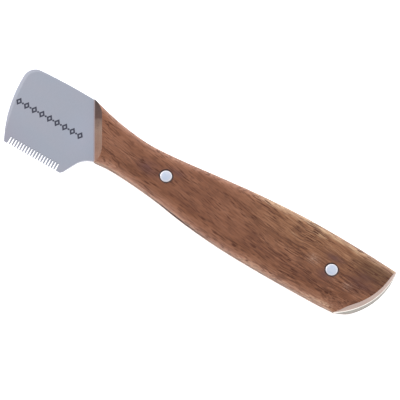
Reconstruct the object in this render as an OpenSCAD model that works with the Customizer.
// Stripping knife for dog coats: one toothed steel blade with a full-length tang,
// a wooden scale on each face of the tang, and two solid pins through all three.
// Millimetres. In the drawing, X runs from the blade's front edge back to the butt,
// Y = 0 is the line through both pins, and the teeth point to -Y.
// to_frame() then centres the outline over the origin. The knife lies on z = 0.

/* [Blade and tang] */
// Thickness of the steel sheet
sheet_t = 1.2; // [0.8:0.1:1.6]
// Length of the spine in front of the wood
spine_l = 27.7; // [26:0.1:34]
// Height of the spine above the pin line, at the wood
spine_y = 13.9; // [13.5:0.1:15]
// Distance from the pin line down to the tooth tips
tooth_reach = 17.6; // [16.5:0.1:20]
// How far the front edge bows out
front_bow = 1.75; // [0.5:0.05:3]
// Width of the band ground thinner behind the teeth, on the underside
grind_w = 6; // [4:0.5:8]
// Thickness ground away at the tooth tips
grind_t = 0.5; // [0.2:0.1:0.6]

/* [Teeth] */
// Number of slots between the teeth
slot_count = 19; // [9:2:19]
// Distance from one slot to the next
slot_pitch = 1.15; // [1.1:0.01:1.2]
// Depth of a slot
slot_depth = 3; // [2:0.1:4]
// Width of a slot at its round root
slot_root_w = 0.45; // [0.4:0.05:0.7]
// Width of a slot at the tooth tips
slot_mouth_w = 0.76; // [0.7:0.02:0.9]
// Lean of the teeth towards the handle, in degrees
slot_lean = 4; // [0:1:8]

/* [Handle] */
// Length of the handle, along its upper edge
handle_l = 132; // [120:0.5:145]
// Thickness of each wooden scale
scale_t = 5.6; // [4.6:0.1:7]
// Width of the round along a scale's upper edge
upper_w = 4; // [2.5:0.1:6]
// Width of the round along a scale's lower edge, the side of the teeth
lower_w = 5.4; // [2.5:0.1:6]
// Height of the upright step between the tang and those rounds
edge_step = 0.4; // [0.2:0.1:1]
// How far the butt bows out
butt_bow = 3.9; // [1:0.1:5]
// How far a scale's end face leans in at the butt
butt_lean = 0.3; // [0:0.1:1]
// Distance from the butt's lower corner at which a scale starts to thin down towards it
corner_reach = 8; // [3:0.5:10]
// Thickness of a scale at the butt's lower corner
corner_t = 0.3; // [0.2:0.05:0.4]
// Slope of the bevel at a scale's front, in degrees
bevel_angle = 58; // [45:1:75]
// Height of the upright step below the bevel
bevel_step = 0.4; // [0.2:0.1:0.8]

/* [Pins] */
// Diameter of the pins
pin_d = 4.6; // [3:0.1:5]
// Distance from the wood's front, at the spine, back to the front pin
front_setback = 40; // [32:1:46]
// Distance from the butt's upper corner forward to the rear pin
rear_setback = 20.6; // [14:0.2:30]
// Chamfer round each pin's ends
pin_chamfer = 0.2; // [0.1:0.05:0.4]

/* [Hidden] */

knife_t = 2 * scale_t + sheet_t;
front_pin_x = spine_l + front_setback;
rear_pin_x = spine_l + handle_l - rear_setback;
pin_facets = 48;
spare = 1;                // how far a cutter runs past what it cuts

// Handle edges, as knots of a smooth curve: distance behind the wood's front at the spine,
// for a handle of the drawn length, and height above the pin line. The two lists are the ends
// of the same ribs: rib 0 is the wood's slanted front and the last is the slanted butt.
drawn_l = 132;
UPPER = [[0, spine_y], [9, 11.5], [17, 9.9], [28, 8.8], [41, 9.5],
         [57, 11.2], [75, 12.9], [95, 13.8], [114, 13.5], [drawn_l, 12.6]];
LOWER = [[12.7, -7.3], [18, -6.8], [23, -6.9], [30, -7.4], [40, -8.5],
         [54, -10.7], [70, -12.2], [87, -12.7], [104, -12.7], [119.5, -12.4]];
last_rib = len(UPPER) - 1;
rib_steps = 4;            // steps between one knot and the next
round_steps = 6;          // facets across each long edge's round
flat_steps = 6;           // facets across the flat between the rounds
bow_ribs = 1.2;           // the butt's bow fades out over this many ribs

// Blade outline in front of the wood
front_top = [0, 9];
spine_front = [5, 13.6];
corner_bow = 1.35;
spine_bow = 0.3;
heel_front = [7.2, -tooth_reach];
heel_back = [31.7, -tooth_reach];
heel_chamfer = 0.9;
throat_start = [34.7, -12.2];
throat_bow = 0.9;
slots_x = 19.3;           // middle of the row of slots

// Knot i of list k, with one more beyond each end
function knot(k, i) =
    i < 0 ? 2 * k[0] - k[1]
    : i >= len(k) ? 2 * k[len(k) - 1] - k[len(k) - 2]
    : k[i];

// Point at t, counted in knots, on the smooth curve through the knots
function curve_at(k, t) =
    let (i = min(floor(t), len(k) - 2), f = t - i)
    let (a = knot(k, i - 1), b = knot(k, i), c = knot(k, i + 1), d = knot(k, i + 2))
    b + f / 2 * (c - a + f * (2 * a - 5 * b + 4 * c - d + f * (3 * b - a - 3 * c + d)));

// Points on the arc from a to b that stands out by bow to the right of that line
function arc(a, b, bow, steps = 12) =
    let (half = norm(b - a) / 2, along = (b - a) / (2 * half), right = [along.y, -along.x])
    let (r = (half * half + bow * bow) / (2 * bow), centre = (a + b) / 2 + (bow - r) * right)
    [for (i = [0:steps]) let (w = asin(half / r) * (2 * i / steps - 1))
        centre + r * (sin(w) * along + cos(w) * right)];

// Point on one of the handle's edges in the drawing, at rib u
function handle_edge(k, u) =
    let (p = curve_at(k, u)) [spine_l + p.x * handle_l / drawn_l, p.y];

// Plan point on rib u, from v = -1 at the lower edge to v = 1 at the upper edge
function rib_point(u, v) =
    let (a = handle_edge(LOWER, u), b = handle_edge(UPPER, u), out = [b.y - a.y, a.x - b.x])
    let (fade = max(0, 1 - (last_rib - u) / bow_ribs))
    (a + b) / 2 + v * (b - a) / 2 + butt_bow * fade * fade * (1 - v * v) * out / norm(out);

// Cross-section of a scale at rib u: [v, height above the tang] from edge to edge
function scale_section(u) =
    let (half_w = (handle_edge(UPPER, u).y - handle_edge(LOWER, u).y) / 2)
    let (low = lower_w / half_w, up = upper_w / half_w, flat = 2 - low - up)
    let (turns = [for (i = [0:round_steps]) 90 * i / round_steps], rise = scale_t - edge_step)
    concat(
        [for (w = turns) [low - 1 - low * cos(w), edge_step + rise * sin(w)]],
        [for (i = [1:flat_steps - 1]) [low - 1 + flat * i / flat_steps, scale_t]],
        [for (w = turns) [1 - up + up * sin(w), edge_step + rise * cos(w)]]);

ribs = last_rib * rib_steps;
section_points = 2 * (round_steps + 1) + flat_steps - 1;
section_vs = [for (p = scale_section(last_rib)) p[0]];

handle_lower = [for (i = [0:ribs]) handle_edge(LOWER, i / rib_steps)];
handle_butt = [for (v = section_vs) rib_point(last_rib, v)];
handle_upper = [for (i = [ribs:-1:0]) handle_edge(UPPER, i / rib_steps)];
wood_front = [handle_upper[ribs], handle_lower[0]];
spine_back = wood_front[0];
throat_end = wood_front[1];

outline = concat(
    [heel_front, heel_back, heel_back + heel_chamfer * [1, 1]],
    arc(throat_start, throat_end, -throat_bow),
    handle_lower, handle_butt, handle_upper,
    arc(spine_back, spine_front, spine_bow),
    arc(spine_front, front_top, corner_bow),
    arc(front_top, heel_front, front_bow));
xs = [for (p = outline) p.x];
ys = [for (p = outline) p.y];

module to_frame() {
    translate([-(min(xs) + max(xs)) / 2, -(min(ys) + max(ys)) / 2, 0]) children();
}

// One slot, open at the tooth tips, y up from the tips
module slot() {
    root_y = slot_depth - slot_root_w / 2;
    mouth = slot_mouth_w / 2;
    root = slot_root_w / 2;
    polygon([[-mouth, -spare], [mouth, -spare], [mouth, 0], [root, root_y], [-root, root_y], [-mouth, 0]]);
    translate([0, root_y]) circle(r = root, $fn = 24);
}

module pin_bores() {
    for (x = [front_pin_x, rear_pin_x])
        translate([x, 0, -spare]) cylinder(d = pin_d, h = knife_t + 2 * spare, $fn = pin_facets);
}

// Wedge that thins the underside of the blade towards the tooth tips
module grind() {
    slope = grind_t / grind_w;
    below = grind_w + spare;
    translate([0, grind_w - tooth_reach, scale_t])
        rotate([90, 0, 90])
            linear_extrude(throat_end.x)
                polygon([[0, 0], [-below, below * slope], [-below, -spare], [0, -spare]]);
}

module blade() {
    color([0.66, 0.67, 0.72])
        to_frame()
            difference() {
                translate([0, 0, scale_t])
                    linear_extrude(sheet_t)
                        difference() {
                            polygon(outline);
                            for (i = [0:slot_count - 1])
                                translate([slots_x + (i - (slot_count - 1) / 2) * slot_pitch, -tooth_reach])
                                    rotate(slot_lean) slot();
                        }
                grind();
                pin_bores();
            }
}

// Height z at plan point q, brought down near the butt's lower corner
function eased(q, z) =
    let (far = norm(q - handle_edge(LOWER, last_rib)))
    corner_t + (z - corner_t) * sin(90 * min(1, far / corner_reach));

// A scale's rounded body, with its tang face on z = 0 and its outer face up
module scale_body() {
    row = section_points;
    top = [for (i = [0:ribs]) let (u = i / rib_steps, lean = i == ribs ? butt_lean / scale_t : 0)
        for (p = scale_section(u)) let (q = rib_point(u, p[0]), z = eased(q, p[1]))
            [q.x - lean * z, q.y, z]];
    under = [for (i = [0:ribs]) let (u = i / rib_steps)
        for (p = scale_section(u)) let (q = rib_point(u, p[0])) [q.x, q.y, 0]];
    base = len(top);
    cells = [for (i = [0:ribs - 1]) for (j = [0:row - 2]) [i * row + j, i * row + j + 1]];
    edge_up = [for (i = [0:ribs - 1]) i * row];
    edge_down = [for (i = [0:ribs - 1]) i * row + row - 1];
    butt = [for (j = [0:row - 2]) ribs * row + j];
    front = [for (j = [0:row - 2]) j];
    polyhedron(
        points = concat(top, under),
        faces = concat(
            [for (c = cells) [c[0], c[1], c[1] + row, c[0] + row]],
            [for (c = cells) [base + c[0], base + c[0] + row, base + c[1] + row, base + c[1]]],
            [for (k = edge_up) [base + k, k, k + row, base + k + row]],
            [for (k = edge_down) [base + k, base + k + row, k + row, k]],
            [for (k = front) [base + k + 1, k + 1, k, base + k]],
            [for (k = butt) [base + k, k, k + 1, base + k + 1]]),
        convexity = 4);
}

// Block whose underside is the bevel: it rises from the wood's front line towards the butt
module bevel_cutter() {
    way = wood_front[1] - wood_front[0];
    reach = 4 * scale_t;
    translate([spine_back.x, spine_back.y, bevel_step])
        rotate([0, 0, atan2(way.y, way.x)])
            rotate([bevel_angle, 0, 0])
                translate([-reach, -reach, 0])
                    cube([norm(way) + 2 * reach, 3 * reach, reach]);
}

module wooden_scale() {
    color([0.55, 0.35, 0.27])
        difference() {
            scale_body();
            bevel_cutter();
            pin_bores();
        }
}

module top_scale() {
    to_frame() translate([0, 0, scale_t + sheet_t]) wooden_scale();
}

module bottom_scale() {
    to_frame() translate([0, 0, scale_t]) mirror([0, 0, 1]) wooden_scale();
}

module pin(x) {
    r = pin_d / 2;
    c = pin_chamfer;
    color([0.85, 0.87, 0.92])
        to_frame()
            translate([x, 0, 0])
                rotate_extrude($fn = pin_facets)
                    polygon([[0, 0], [r - c, 0], [r, c], [r, knife_t - c], [r - c, knife_t], [0, knife_t]]);
}

module front_pin() {
    pin(front_pin_x);
}

module rear_pin() {
    pin(rear_pin_x);
}

blade();
top_scale();
bottom_scale();
front_pin();
rear_pin();
